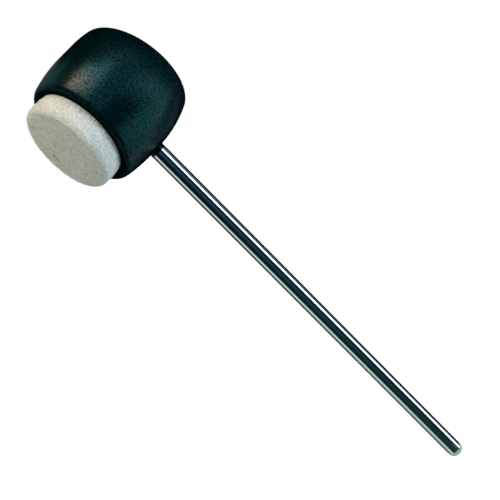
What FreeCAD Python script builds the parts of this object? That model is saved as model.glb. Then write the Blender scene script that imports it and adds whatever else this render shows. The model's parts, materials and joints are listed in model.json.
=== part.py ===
import FreeCAD, Part
import math
import os

# Bass drum beater with a self-aligning felt head.
# The shaft stands along +Z, the felt strikes towards -Y and the pivot pin lies along X.
# The origin is on the shaft axis, where its full diameter begins above the rounded lower end.
# Lengths are in millimetres, angles in degrees.

Vec = FreeCAD.Vector
X_AXIS = Vec(1, 0, 0)
Y_AXIS = Vec(0, 1, 0)
Z_AXIS = Vec(0, 0, 1)
FULL_TURN = 360

# Shaft: a standard beater rod, reduced inside the head and flattened round the pivot pin
SHAFT_DIAMETER = 8.0
SHAFT_TIP_ROUND = 3.0
HEAD_HEIGHT = 245.9
SPIGOT_STEP = 0.3
SPIGOT_ENTRY = 1.0
EYE_FLAT_DEPTH = 0.9
EYE_BELOW_PIVOT = 9.0
EYE_ABOVE_PIVOT = 7.5

# Swivel of the head on the pivot pin, each way from square
SWIVEL_ANGLE = 5.0
STOP_GAP = 0.3
PIVOT_PIN_DIAMETER = 4.0
PIN_END_GAP = 0.4
BUSH_RUNNING_GAP = 0.05
BUSH_WALL = 1.45
BUSH_LENGTH = 10.7
BUSH_FLANGE_WIDTH = 2.0
BUSH_FLANGE_THICKNESS = 1.2
BUSH_SIDE_GAP = 0.3

# Felt pad and the stiff disc behind it
FELT_RADIUS = 23.05
FELT_PROUD = 10.9
FELT_EDGE_ROUND = 2.5
FELT_SIDE_GAP = 0.15
FELT_BEHIND_LIP = 2.1
BACKING_THICKNESS = 2.5

# Core: two moulded halves that meet on the plane of the shaft
SLOT_HALF_LENGTH = 9.0
SLOT_TOP_GAP = 0.6
CORE_FRONT_WALL = 8.5
CORE_REAR_WALL = 10.0
CORE_CONE_LENGTH = 8.0
CORE_CONE_DEPTH = 7.6
BUFFER_HEIGHT = 13.5
BUFFER_FOOT_GAP = 0.7

# Jacket: a barrel whose rear end leans, with a lip round the felt and a flat at the neck
LIP_WIDTH = 2.8
LIP_NOSE_ROUND = 2.2
LIP_HOOK = 2.4
CROWN_CURVE = 77.5
BEND_START = -5.0
BEND_LENGTH = 20.0
BEND_RINGS = 5
REAR_LEAN = 6.9
REAR_WALL = 8.5
REAR_DOME = 65.0
REAR_CORNER_ROUND = 4.0
NECK_FLAT_DEPTH = 1.6
NECK_FLAT_CURVE = 80.0
NECK_FLAT_FORWARD = 4.5
NECK_SIDE_GAP = 0.8
NECK_END_GAP = 0.5

# Screws through the core halves: a low pair beside the slot and a high pair above it
CORE_SCREW_DIAMETER = 2.5
CORE_SCREW_HEAD_DIAMETER = 4.8
CORE_SCREW_HEAD_HEIGHT = 2.0
CORE_SCREW_GRIP = 10.0
CORE_SCREW_BITE = 9.0
CORE_SCREW_GAP = 0.2
LOW_SCREW_INSET = 12.6
HIGH_SCREW_INSET = 8.6
HIGH_SCREW_SPREAD = 8.0

# Countersunk screws that hold the backing disc, mirrored to four corners
PAD_SCREW_DIAMETER = 2.5
PAD_SCREW_HEAD_DIAMETER = 5.0
PAD_SCREW_BITE = 7.0
PAD_SCREW_SIDE = 12.0
PAD_SCREW_RISE = 4.5

# Shaft and pivot sizes that follow
HEAD_CENTRE = Vec(0, 0, HEAD_HEIGHT)
SHAFT_RADIUS = SHAFT_DIAMETER / 2
SPIGOT_RADIUS = SHAFT_RADIUS - SPIGOT_STEP
EYE_HALF_THICKNESS = SPIGOT_RADIUS - EYE_FLAT_DEPTH
PIN_RADIUS = PIVOT_PIN_DIAMETER / 2
BUSH_BORE_RADIUS = PIN_RADIUS + BUSH_RUNNING_GAP
BUSH_RADIUS = BUSH_BORE_RADIUS + BUSH_WALL
BUSH_FLANGE_RADIUS = BUSH_RADIUS + BUSH_FLANGE_WIDTH
FLANGE_INNER_X = EYE_HALF_THICKNESS + BUSH_SIDE_GAP
SLOT_HALF_WIDTH = FLANGE_INNER_X + BUSH_FLANGE_THICKNESS
BUSH_END_X = SLOT_HALF_WIDTH + BUSH_LENGTH
PIN_HALF_LENGTH = BUSH_END_X - PIN_END_GAP
SWIVEL_TANGENT = math.tan(math.radians(SWIVEL_ANGLE))
SWIVEL_COSINE = math.cos(math.radians(SWIVEL_ANGLE))

# Places along the felt axis, measured from the shaft axis towards the rear
CORE_FRONT_Y = -SLOT_HALF_LENGTH - CORE_FRONT_WALL
FELT_BACK_Y = CORE_FRONT_Y - BACKING_THICKNESS
LIP_Y = FELT_BACK_Y - FELT_BEHIND_LIP
FELT_FRONT_Y = LIP_Y - FELT_PROUD
CORE_REAR_Y = SLOT_HALF_LENGTH + CORE_REAR_WALL
REAR_Y = CORE_REAR_Y + REAR_WALL
BEND_END = BEND_START + BEND_LENGTH

# Distances from the felt axis
FELT_BORE_RADIUS = FELT_RADIUS + FELT_SIDE_GAP
CORE_RADIUS = FELT_BORE_RADIUS + LIP_HOOK
NOSE_CENTRE = (LIP_Y + LIP_NOSE_ROUND, FELT_BORE_RADIUS + LIP_WIDTH)
NOSE_TO_CROWN = CROWN_CURVE - LIP_NOSE_ROUND
CROWN_CENTRE = (0, NOSE_CENTRE[1] - math.sqrt(NOSE_TO_CROWN ** 2 - NOSE_CENTRE[0] ** 2))
DOME_CENTRE = (REAR_Y - REAR_DOME, 0)
BARREL_RADIUS = CROWN_CENTRE[1] + CROWN_CURVE
NECK_DEPTH = BARREL_RADIUS - NECK_FLAT_DEPTH
NECK_Z = HEAD_HEIGHT - NECK_DEPTH
BUFFER_FOOT = math.sqrt(CORE_RADIUS ** 2 - SLOT_HALF_WIDTH ** 2) - BUFFER_FOOT_GAP
LOW_SCREW_SPREAD = SLOT_HALF_LENGTH + CORE_FRONT_WALL / 2
LOW_SCREW_DROP = CORE_RADIUS - LOW_SCREW_INSET
HIGH_SCREW_RISE = CORE_RADIUS - HIGH_SCREW_INSET


def on_profile(y, radius):
    """A point of a turned profile: distance behind the shaft axis and distance from the felt axis."""
    return Vec(0, y, HEAD_HEIGHT + radius)


def line(start, end):
    return Part.LineSegment(on_profile(*start), on_profile(*end)).toShape()


def away_from(centre, through, distance):
    """The point at a distance from a centre, on the side of another point."""
    dy = through[0] - centre[0]
    dr = through[1] - centre[1]
    share = distance / math.hypot(dy, dr)
    return (centre[0] + dy * share, centre[1] + dr * share)


def arc(centre, radius, start, end):
    """The shorter arc about a centre between two points that lie on it."""
    between = ((start[0] + end[0]) / 2, (start[1] + end[1]) / 2)
    middle = away_from(centre, between, radius)
    return Part.Arc(on_profile(*start), on_profile(*middle), on_profile(*end)).toShape()


def turned(edges):
    """The solid that a closed profile sweeps round the felt axis."""
    face = Part.Face(Part.Wire(edges))
    return face.revolve(HEAD_CENTRE, Y_AXIS, FULL_TURN)


def turned_outline(points):
    """A turned solid with straight profile lines."""
    ends = points[1:] + points[:1]
    return turned([line(start, end) for start, end in zip(points, ends)])


def rod(radius, start, direction, length):
    return Part.makeCylinder(radius, length, start, direction)


def block(low, high):
    return Part.makeBox(high.x - low.x, high.y - low.y, high.z - low.z, low)


def crown_at(y):
    """Point of the barrel's crown at a distance behind the shaft axis."""
    return (y, CROWN_CENTRE[1] + math.sqrt(CROWN_CURVE ** 2 - y ** 2))


def lean_at(y):
    """Lean of the barrel's section, eased in along the bend."""
    share = (y - BEND_START) / BEND_LENGTH
    return REAR_LEAN * share * share * (3 - 2 * share)


def rear_corner_centre():
    """Centre of the round that touches both the crown and the rear dome from inside."""
    to_crown = CROWN_CURVE - REAR_CORNER_ROUND
    to_dome = REAR_DOME - REAR_CORNER_ROUND
    dy = DOME_CENTRE[0] - CROWN_CENTRE[0]
    dr = DOME_CENTRE[1] - CROWN_CENTRE[1]
    apart = math.hypot(dy, dr)
    along = (to_crown ** 2 - to_dome ** 2 + apart ** 2) / (2 * apart)
    across = math.sqrt(to_crown ** 2 - along ** 2)
    foot_y = CROWN_CENTRE[0] + dy * along / apart
    foot_r = CROWN_CENTRE[1] + dr * along / apart
    return (foot_y + dr * across / apart, foot_r - dy * across / apart)


def front_barrel():
    """Front of the jacket's outside, from the lip to the start of the bend."""
    lip_face = (LIP_Y, NOSE_CENTRE[1])
    nose_end = away_from(CROWN_CENTRE, NOSE_CENTRE, CROWN_CURVE)
    bend = crown_at(BEND_START)
    return turned([
        line((LIP_Y, 0), lip_face),
        arc(NOSE_CENTRE, LIP_NOSE_ROUND, lip_face, nose_end),
        arc(CROWN_CENTRE, CROWN_CURVE, nose_end, bend),
        line(bend, (BEND_START, 0)),
        line((BEND_START, 0), (LIP_Y, 0)),
    ])


def bent_barrel():
    """Middle of the jacket's outside: rings that lean more and more towards the rear."""
    rings = []
    for step in range(BEND_RINGS):
        y, radius = crown_at(BEND_START + BEND_LENGTH * step / (BEND_RINGS - 1))
        ring = Part.Wire(Part.Circle(on_profile(y, 0), Y_AXIS, radius).toShape())
        ring.rotate(HEAD_CENTRE, X_AXIS, lean_at(y))
        rings.append(ring)
    return Part.makeLoft(rings, True)


def rear_barrel():
    """Rear of the jacket's outside: rounded corner and shallow dome, leaning as a whole."""
    corner = rear_corner_centre()
    bend = crown_at(BEND_END)
    corner_start = away_from(CROWN_CENTRE, corner, CROWN_CURVE)
    corner_end = away_from(DOME_CENTRE, corner, REAR_DOME)
    apex = (REAR_Y, 0)
    rear = turned([
        arc(CROWN_CENTRE, CROWN_CURVE, bend, corner_start),
        arc(corner, REAR_CORNER_ROUND, corner_start, corner_end),
        arc(DOME_CENTRE, REAR_DOME, corner_end, apex),
        line(apex, (BEND_END, 0)),
        line((BEND_END, 0), bend),
    ])
    rear.rotate(HEAD_CENTRE, X_AXIS, REAR_LEAN)
    return rear


def core_blank():
    """Outside of the two core halves together, which is also the jacket's cavity."""
    return turned_outline([
        (CORE_FRONT_Y, 0),
        (CORE_FRONT_Y, CORE_RADIUS),
        (CORE_REAR_Y - CORE_CONE_LENGTH, CORE_RADIUS),
        (CORE_REAR_Y, CORE_RADIUS - CORE_CONE_DEPTH),
        (CORE_REAR_Y, 0),
    ])


def neck_slot():
    """Opening in the neck, long enough for the shaft at both ends of the swivel."""
    half_width = SHAFT_RADIUS + NECK_SIDE_GAP
    half_length = SHAFT_RADIUS / SWIVEL_COSINE + NECK_DEPTH * SWIVEL_TANGENT + NECK_END_GAP
    end_centre = half_length - half_width
    low = Vec(-half_width, -end_centre, NECK_Z - SHAFT_RADIUS)
    high = Vec(half_width, end_centre, HEAD_HEIGHT)
    height = high.z - low.z
    front_end = rod(half_width, Vec(0, -end_centre, low.z), Z_AXIS, height)
    rear_end = rod(half_width, Vec(0, end_centre, low.z), Z_AXIS, height)
    return block(low, high).fuse([front_end, rear_end])


def below_neck():
    """What the neck's flat takes off the barrel: straight across, gently curved from front to rear."""
    room = block(
        Vec(-BARREL_RADIUS, LIP_Y, NECK_Z - BARREL_RADIUS),
        Vec(BARREL_RADIUS, REAR_Y, HEAD_HEIGHT),
    )
    axis_start = Vec(-BARREL_RADIUS, -NECK_FLAT_FORWARD, NECK_Z + NECK_FLAT_CURVE)
    kept = rod(NECK_FLAT_CURVE, axis_start, X_AXIS, 2 * BARREL_RADIUS)
    return room.cut(kept)


def head_jacket():
    """Rubber jacket: the barrel, hollowed for the core and the felt, flat and slotted at the neck."""
    barrel = front_barrel().fuse([bent_barrel(), rear_barrel()]).removeSplitter()
    felt_bore = rod(FELT_BORE_RADIUS, on_profile(LIP_Y, 0), Y_AXIS, CORE_FRONT_Y - LIP_Y)
    return barrel.cut([core_blank(), felt_bore, below_neck(), neck_slot()])


def felt_pad():
    """Pressed felt disc with a soft front edge."""
    flat_radius = FELT_RADIUS - FELT_EDGE_ROUND
    edge_centre = (FELT_FRONT_Y + FELT_EDGE_ROUND, flat_radius)
    side_start = (edge_centre[0], FELT_RADIUS)
    return turned([
        line((FELT_FRONT_Y, 0), (FELT_FRONT_Y, flat_radius)),
        arc(edge_centre, FELT_EDGE_ROUND, (FELT_FRONT_Y, flat_radius), side_start),
        line(side_start, (FELT_BACK_Y, FELT_RADIUS)),
        line((FELT_BACK_Y, FELT_RADIUS), (FELT_BACK_Y, 0)),
        line((FELT_BACK_Y, 0), (FELT_FRONT_Y, 0)),
    ])


def pad_screw(x, z):
    """One countersunk screw, its head flush with the front of the backing disc."""
    head_radius = PAD_SCREW_HEAD_DIAMETER / 2
    shank_radius = PAD_SCREW_DIAMETER / 2
    head_height = head_radius - shank_radius
    start = Vec(x, FELT_BACK_Y, HEAD_HEIGHT + z)
    head = Part.makeCone(head_radius, shank_radius, head_height, start, Y_AXIS)
    shank = rod(shank_radius, start, Y_AXIS, BACKING_THICKNESS + PAD_SCREW_BITE)
    return head.fuse(shank).removeSplitter()


def pad_screws():
    sides = (-PAD_SCREW_SIDE, PAD_SCREW_SIDE)
    rises = (-PAD_SCREW_RISE, PAD_SCREW_RISE)
    return [pad_screw(x, z) for x in sides for z in rises]


def pad_backing():
    """Stiff disc behind the felt, countersunk for its screws."""
    disc = rod(FELT_RADIUS, on_profile(FELT_BACK_Y, 0), Y_AXIS, BACKING_THICKNESS)
    return disc.cut(pad_screws())


def core_screw(y, z):
    """One screw across the core: head in the left half, thread in the right half."""
    seat = Vec(-CORE_SCREW_GRIP, y, HEAD_HEIGHT + z)
    head_start = seat - X_AXIS * CORE_SCREW_HEAD_HEIGHT
    head = rod(CORE_SCREW_HEAD_DIAMETER / 2, head_start, X_AXIS, CORE_SCREW_HEAD_HEIGHT)
    shank = rod(CORE_SCREW_DIAMETER / 2, seat, X_AXIS, CORE_SCREW_GRIP + CORE_SCREW_BITE)
    return head.fuse(shank).removeSplitter()


def core_screw_places():
    """Places of the core's screws from the pivot, as (rearwards, upwards)."""
    low = [(side * LOW_SCREW_SPREAD, -LOW_SCREW_DROP) for side in (-1, 1)]
    high = [(side * HIGH_SCREW_SPREAD, HIGH_SCREW_RISE) for side in (-1, 1)]
    return low + high


def core_screws():
    return [core_screw(y, z) for y, z in core_screw_places()]


def core_screw_ways(y, z):
    """Counterbore and clearance hole of one screw in the left core half."""
    seat = Vec(-CORE_SCREW_GRIP, y, HEAD_HEIGHT + z)
    outside = seat - X_AXIS * CORE_RADIUS
    counterbore = rod(CORE_SCREW_HEAD_DIAMETER / 2 + CORE_SCREW_GAP, outside, X_AXIS, CORE_RADIUS)
    clearance = rod(CORE_SCREW_DIAMETER / 2 + CORE_SCREW_GAP, seat, X_AXIS, CORE_SCREW_GRIP)
    return [counterbore, clearance]


def core_slot():
    """Slot for the shaft, open at the bottom, closed above the shaft's eye."""
    eye_sweep = math.hypot(EYE_ABOVE_PIVOT, SPIGOT_RADIUS)
    return block(
        Vec(-SLOT_HALF_WIDTH, -SLOT_HALF_LENGTH, HEAD_HEIGHT - BARREL_RADIUS),
        Vec(SLOT_HALF_WIDTH, SLOT_HALF_LENGTH, HEAD_HEIGHT + eye_sweep + SLOT_TOP_GAP),
    )


def core_halves():
    """Left and right core halves, with the slot, the bush bore and the screw holes."""
    bush_bore = rod(BUSH_RADIUS, HEAD_CENTRE - X_AXIS * BUSH_END_X, X_AXIS, 2 * BUSH_END_X)
    whole = core_blank().cut([core_slot(), bush_bore] + pad_screws())
    left_room = block(
        Vec(-CORE_RADIUS, CORE_FRONT_Y, HEAD_HEIGHT - CORE_RADIUS),
        Vec(0, CORE_REAR_Y, HEAD_HEIGHT + CORE_RADIUS),
    )
    ways = []
    for y, z in core_screw_places():
        ways += core_screw_ways(y, z)
    left = whole.common(left_room).cut(ways)
    right = whole.cut([left_room] + core_screws())
    return left, right


def buffer(side):
    """Rubber stop in the slot; its inner face lies along the shaft at the end of the swivel."""
    def stop_face(depth):
        return SPIGOT_RADIUS / SWIVEL_COSINE + depth * SWIVEL_TANGENT + STOP_GAP

    top = BUFFER_FOOT - BUFFER_HEIGHT
    corners = [
        (SLOT_HALF_LENGTH, top),
        (stop_face(top), top),
        (stop_face(BUFFER_FOOT), BUFFER_FOOT),
        (SLOT_HALF_LENGTH, BUFFER_FOOT),
    ]
    points = [Vec(-SLOT_HALF_WIDTH, side * y, HEAD_HEIGHT - depth) for y, depth in corners]
    face = Part.Face(Part.makePolygon(points + points[:1]))
    return face.extrude(X_AXIS * (2 * SLOT_HALF_WIDTH))


def bush(side):
    """Flanged bush: its flange faces the shaft's eye, its barrel sits in a core half."""
    outwards = X_AXIS * side
    flange_start = HEAD_CENTRE + outwards * FLANGE_INNER_X
    flange = rod(BUSH_FLANGE_RADIUS, flange_start, outwards, BUSH_FLANGE_THICKNESS)
    length = BUSH_FLANGE_THICKNESS + BUSH_LENGTH
    barrel = rod(BUSH_RADIUS, flange_start, outwards, length)
    bore = rod(BUSH_BORE_RADIUS, flange_start, outwards, length)
    return flange.fuse(barrel).removeSplitter().cut(bore)


def pivot_pin():
    return rod(PIN_RADIUS, HEAD_CENTRE - X_AXIS * PIN_HALF_LENGTH, X_AXIS, 2 * PIN_HALF_LENGTH)


def shaft():
    """Chromed rod: rounded end, full diameter up to the neck, spigot with two flats and the pin hole."""
    wall_end = NECK_Z + SPIGOT_ENTRY
    top = HEAD_HEIGHT + EYE_ABOVE_PIVOT
    full = rod(SHAFT_RADIUS, Vec(0, 0, -SHAFT_TIP_ROUND), Z_AXIS, wall_end + SHAFT_TIP_ROUND)
    tip_edge = [edge for edge in full.Edges if edge.BoundBox.ZMax < wall_end and edge.Closed]
    full = full.makeFillet(SHAFT_TIP_ROUND, tip_edge)
    spigot = rod(SPIGOT_RADIUS, Vec(0, 0, wall_end), Z_AXIS, top - wall_end)
    eye_bottom = HEAD_HEIGHT - EYE_BELOW_PIVOT
    beside_eye = block(
        Vec(EYE_HALF_THICKNESS, -SHAFT_RADIUS, eye_bottom),
        Vec(SHAFT_RADIUS, SHAFT_RADIUS, top),
    )
    other_side = beside_eye.mirror(HEAD_CENTRE, X_AXIS)
    return full.fuse(spigot).removeSplitter().cut([beside_eye, other_side, pivot_pin()])


def write(name, shape):
    """Write one piece, or a group of like pieces, as a STEP file named for its node."""
    solids = shape if isinstance(shape, list) else [shape]
    count = sum(len(solid.Solids) for solid in solids)
    volume = sum(solid.Volume for solid in solids)
    joined = solids[0] if len(solids) == 1 else Part.makeCompound(solids)
    joined.exportStep(f"parts/{name}.step")
    print(f"{name}: {count} solid(s), {volume:.1f} mm3, valid {joined.isValid()}")


def main():
    os.makedirs("parts", exist_ok=True)
    core_left, core_right = core_halves()
    write("shaft", shaft())
    write("pivot_pin", pivot_pin())
    write("bush_left", bush(-1))
    write("bush_right", bush(1))
    write("core_left", core_left)
    write("core_right", core_right)
    write("core_screws", core_screws())
    write("front_buffer", buffer(-1))
    write("rear_buffer", buffer(1))
    write("pad_backing", pad_backing())
    write("pad_screws", pad_screws())
    write("felt_pad", felt_pad())
    write("head_jacket", head_jacket())
    print(f"barrel radius {BARREL_RADIUS:.2f}, neck at {NECK_Z:.2f}, felt front at {FELT_FRONT_Y:.2f}")


main()
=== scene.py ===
# %% [markdown]
# # A bass drum beater, dressed in Blender
# The beater is a chromed steel rod that carries a barrel-shaped rubber head with a round felt face. The
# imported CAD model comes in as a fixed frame, and every piece made here is placed in that frame, in
# metres. Where a CAD solid already has the right shape it only gets a finish. The rod, the rubber jacket
# and the felt are made again here, because their looks need smoother or softer meshes.

# %% Load the frame
import json
import math

import bmesh
import bpy
from mathutils import Matrix, Vector, noise


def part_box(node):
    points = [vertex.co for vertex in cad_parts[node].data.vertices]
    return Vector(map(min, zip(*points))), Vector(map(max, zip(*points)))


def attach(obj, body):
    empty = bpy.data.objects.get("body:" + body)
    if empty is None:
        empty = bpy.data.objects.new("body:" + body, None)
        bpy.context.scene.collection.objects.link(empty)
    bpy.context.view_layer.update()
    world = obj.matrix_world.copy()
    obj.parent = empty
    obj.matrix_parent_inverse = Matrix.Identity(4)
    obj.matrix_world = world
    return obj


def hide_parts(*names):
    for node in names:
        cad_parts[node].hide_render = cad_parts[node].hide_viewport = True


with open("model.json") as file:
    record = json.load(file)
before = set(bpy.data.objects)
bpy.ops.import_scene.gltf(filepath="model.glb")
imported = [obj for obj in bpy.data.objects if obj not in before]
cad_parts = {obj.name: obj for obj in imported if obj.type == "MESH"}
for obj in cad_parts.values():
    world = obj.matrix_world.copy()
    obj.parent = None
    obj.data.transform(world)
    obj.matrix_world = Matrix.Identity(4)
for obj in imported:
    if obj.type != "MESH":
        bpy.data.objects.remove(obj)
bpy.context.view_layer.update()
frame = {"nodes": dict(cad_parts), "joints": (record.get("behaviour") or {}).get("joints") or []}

MM = 0.001
head_centre = Vector(frame["joints"][0]["pos_m"])
print("the head swivels about", [round(v, 4) for v in head_centre])

# %% [markdown]
# ## Sizes that come from the frame
# A box round a CAD node gives the sizes that have to agree with it: the rod's radius, the felt's radius
# and the places of its two faces, the lip and the neck of the jacket, and the hollow that the nylon core
# fills. Reading them keeps this file in step with the solids if those are resized. Only the lip is set a
# little further forward than in the solid, because the picture shows it there.

# %% Measure the nodes
shaft_low, shaft_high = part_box("shaft")
felt_low, felt_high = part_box("felt_pad")
jacket_low, jacket_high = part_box("head_jacket")
core_low, core_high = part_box("core_right")

shaft_radius = shaft_high.x
felt_radius = felt_high.x
felt_front_y = felt_low.y
felt_back_y = felt_high.y
barrel_radius = jacket_high.x
LIP_FORWARD = 0.6 * MM
lip_y = jacket_low.y - LIP_FORWARD
neck_z = jacket_low.z
core_radius = core_high.x
core_front_y = core_low.y
core_rear_y = core_high.y
print("rod radius %.2f mm, felt radius %.2f mm" % (shaft_radius / MM, felt_radius / MM))
print("felt stands %.1f mm proud of the lip" % ((lip_y - felt_front_y) / MM))

# %% [markdown]
# ## The camera
# The picture was taken from the front right, a little above the middle of the rod, with the camera rolled
# so that the rod runs from the upper left to the lower right. A camera can be placed by hand, but here
# its place was worked out from the rod: the rod is narrower at the far end of the picture, and that gives
# the distance. The three axes of the camera are written as a matrix, because a rolled camera is awkward
# to give as angles.

# %% Place the camera
CAMERA_AZIMUTH = math.radians(62.93)
CAMERA_DISTANCE = 0.4731
CAMERA_HEIGHT = 0.25113
CAMERA_YAW = CAMERA_AZIMUTH + math.radians(0.28)
CAMERA_PITCH = math.radians(12.04)
CAMERA_ROLL = math.radians(45.08)
CAMERA_LENS = 72.0

toward = Vector((
    -math.sin(CAMERA_YAW) * math.cos(CAMERA_PITCH),
    math.cos(CAMERA_YAW) * math.cos(CAMERA_PITCH),
    -math.sin(CAMERA_PITCH),
))
level_right = Vector((math.cos(CAMERA_YAW), math.sin(CAMERA_YAW), 0))
level_up = level_right.cross(toward)
camera_x = math.sin(CAMERA_ROLL) * level_right - math.cos(CAMERA_ROLL) * level_up
camera_y = math.cos(CAMERA_ROLL) * level_right + math.sin(CAMERA_ROLL) * level_up
camera_place = Vector((
    CAMERA_DISTANCE * math.sin(CAMERA_AZIMUTH),
    -CAMERA_DISTANCE * math.cos(CAMERA_AZIMUTH),
    CAMERA_HEIGHT,
))


def show(name, data):
    """A mesh, a camera or a lamp as an object in the scene."""
    item = bpy.data.objects.new(name, data)
    bpy.context.scene.collection.objects.link(item)
    return item


camera_data = bpy.data.cameras.new("camera")
camera_data.lens = CAMERA_LENS
camera_data.sensor_width = 36.0
camera_data.clip_start = 0.01
camera_data.clip_end = 50.0
camera = show("camera", camera_data)
camera_axes = Matrix((camera_x, camera_y, -toward)).transposed().to_4x4()
camera.matrix_world = Matrix.Translation(camera_place) @ camera_axes
bpy.context.scene.camera = camera
bpy.context.scene.view_settings.view_transform = "Standard"
print("camera at", [round(v, 3) for v in camera_place])

# %% [markdown]
# ## Small helpers
# Colours are written as the hex values that a paint program shows, and one function turns them into the
# linear numbers that Blender computes with. A second function adds a node with its links and settings, so
# that a material reads as a list of its nodes. In a Mix node of colours, inputs 6 and 7 are the two
# colours. A third function starts a material with an empty node tree.

# %% Helpers for colours and nodes
def linear(hex_colour):
    """An sRGB hex colour as linear red, green, blue and alpha."""
    parts = [int(hex_colour[i:i + 2], 16) / 255 for i in (1, 3, 5)]
    curve = [c / 12.92 if c <= 0.04045 else ((c + 0.055) / 1.055) ** 2.4 for c in parts]
    return (*curve, 1.0)


def add(tree, kind, inputs=None, **settings):
    """Add a node. An input is a value, a hex colour, a socket, or a node for its first output in use."""
    node = tree.nodes.new(kind)
    for name, value in settings.items():
        setattr(node, name, value)
    for key, value in (inputs or {}).items():
        if isinstance(value, bpy.types.Node):
            value = next(output for output in value.outputs if output.enabled)
        if isinstance(value, str) and value.startswith("#"):
            value = linear(value)
        if isinstance(value, bpy.types.NodeSocket):
            tree.links.new(value, node.inputs[key])
        else:
            node.inputs[key].default_value = value
    return node


def new_material(name):
    """A material and its node tree, still empty."""
    material = bpy.data.materials.new(name)
    material.use_nodes = True
    material.node_tree.nodes.clear()
    return material, material.node_tree


print("helpers ready, for example #808080 is", round(linear("#808080")[0], 3))

# %% [markdown]
# ## The background
# The picture has a plain white ground. The world is white wherever the camera, a mirror or a glass looks
# at it, and only a soft cool grey for the light that it sheds, so the white ground doesn't flood the
# object with light. A wide pale floor lies well below the beater, which is held in the air by its rod,
# and takes a faint shadow.

# %% World
AMBIENT = 0.345


def looked_at(tree):
    """A value of 1 where the camera, a mirror or a glass looks, and of 0 for the light that is shed."""
    path = add(tree, "ShaderNodeLightPath")
    seen = add(tree, "ShaderNodeMath", {
        0: path.outputs["Is Camera Ray"], 1: path.outputs["Is Glossy Ray"]}, operation="ADD")
    return add(tree, "ShaderNodeMath", {
        0: seen, 1: path.outputs["Is Transmission Ray"]}, operation="ADD", use_clamp=True)


world = bpy.data.worlds.new("white_studio")
world.use_nodes = True
bpy.context.scene.world = world
tree = world.node_tree
tree.nodes.clear()
shed = add(tree, "ShaderNodeBackground", {"Color": "#E6F6FA", "Strength": AMBIENT})
white = add(tree, "ShaderNodeBackground", {"Color": "#FFFFFF", "Strength": 1.0})
mixed = add(tree, "ShaderNodeMixShader", {0: looked_at(tree), 1: shed, 2: white})
add(tree, "ShaderNodeOutputWorld", {"Surface": mixed})
print("world", world.name, "sheds", AMBIENT)

# %% Floor
FLOOR_Z = -0.62
FLOOR_HALF = 14.0
FLOOR_LIFT = 0.80
floor_paper, tree = new_material("white_paper_floor")
lift = add(tree, "ShaderNodeMath", {0: looked_at(tree), 1: FLOOR_LIFT}, operation="MULTIPLY")
paper = add(tree, "ShaderNodeBsdfDiffuse", {"Color": "#F4F4F2"})
glow = add(tree, "ShaderNodeEmission", {"Color": "#FFFFFF", "Strength": lift})
both = add(tree, "ShaderNodeAddShader", {0: paper, 1: glow})
add(tree, "ShaderNodeOutputMaterial", {"Surface": both})

mesh = bpy.data.meshes.new("studio_floor")
corners = [(-1, -1), (1, -1), (1, 1), (-1, 1)]
mesh.from_pydata([(x * FLOOR_HALF, y * FLOOR_HALF, FLOOR_Z) for x, y in corners], [], [(0, 1, 2, 3)])
mesh.materials.append(floor_paper)
floor = show("studio_floor", mesh)
print("floor at z = %.2f m" % FLOOR_Z)

# %% [markdown]
# ## The lights
# Four soft lamps light the object: a cool strip low on the right, a weak panel on the left, a warm soft
# box above and a fill in front of the felt. Each is an area lamp aimed at the object, at an angle counted
# from the camera's own. The lamps only shed light. What the chrome and the rubber mirror are the cards of
# the next step, because a mirror shows the shape of a thing, and a card's shape is easier to set than a
# lamp's.

# %% Lamps
def from_camera(offset_degrees, distance, height):
    """A place round the rod, at an angle to the right of the camera as the rod sees it."""
    angle = CAMERA_AZIMUTH + math.radians(offset_degrees)
    return Vector((math.sin(angle) * distance, -math.cos(angle) * distance, height))


def soft_lamp(name, place, width, height, radiance, colour):
    """A rectangular lamp of a given brightness, turned to the head, unseen by camera and mirrors."""
    data = bpy.data.lights.new(name, "AREA")
    data.shape = "RECTANGLE"
    data.size = width
    data.size_y = height
    data.energy = radiance * math.pi * width * height
    data.color = linear(colour)[:3]
    lamp = show(name, data)
    lamp.location = place
    lamp.rotation_euler = (head_centre - place).to_track_quat("-Z", "Y").to_euler()
    lamp.visible_camera = False
    lamp.visible_glossy = False
    return lamp


lamps = [
    soft_lamp("right_strip", from_camera(47, 0.95, -0.10), 0.60, 0.70, 5.7, "#C6E0FA"),
    soft_lamp("left_panel", from_camera(-86, 0.95, -0.10), 0.62, 0.68, 0.36, "#C8E6FF"),
    soft_lamp("key_box", head_centre + from_camera(14, 0.45, 0.88), 0.22, 0.22, 39.0, "#FFEADA"),
    soft_lamp("face_fill", head_centre + from_camera(-66, 0.15, 0.12), 0.08, 0.08, 3.0, "#FFF6D0"),
]
print(len(lamps), "lamps")

# %% [markdown]
# ## Cards for the mirrors
# Chrome looks like chrome because it mirrors dark things as well as bright ones, and satin rubber does
# the same with less detail. The bands on the rod tell what stood round it: a cylinder shows the whole
# room, squeezed sideways. So cards stand in a ring, a white one for the streak, pale and dark ones beside
# it. Their edges slant a little, as the bands on the rod do, and their cloth is shaded from top to
# bottom. A second ring above it is for the head. Only mirror rays see them, so they hide neither the
# white ground nor the light.

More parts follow.
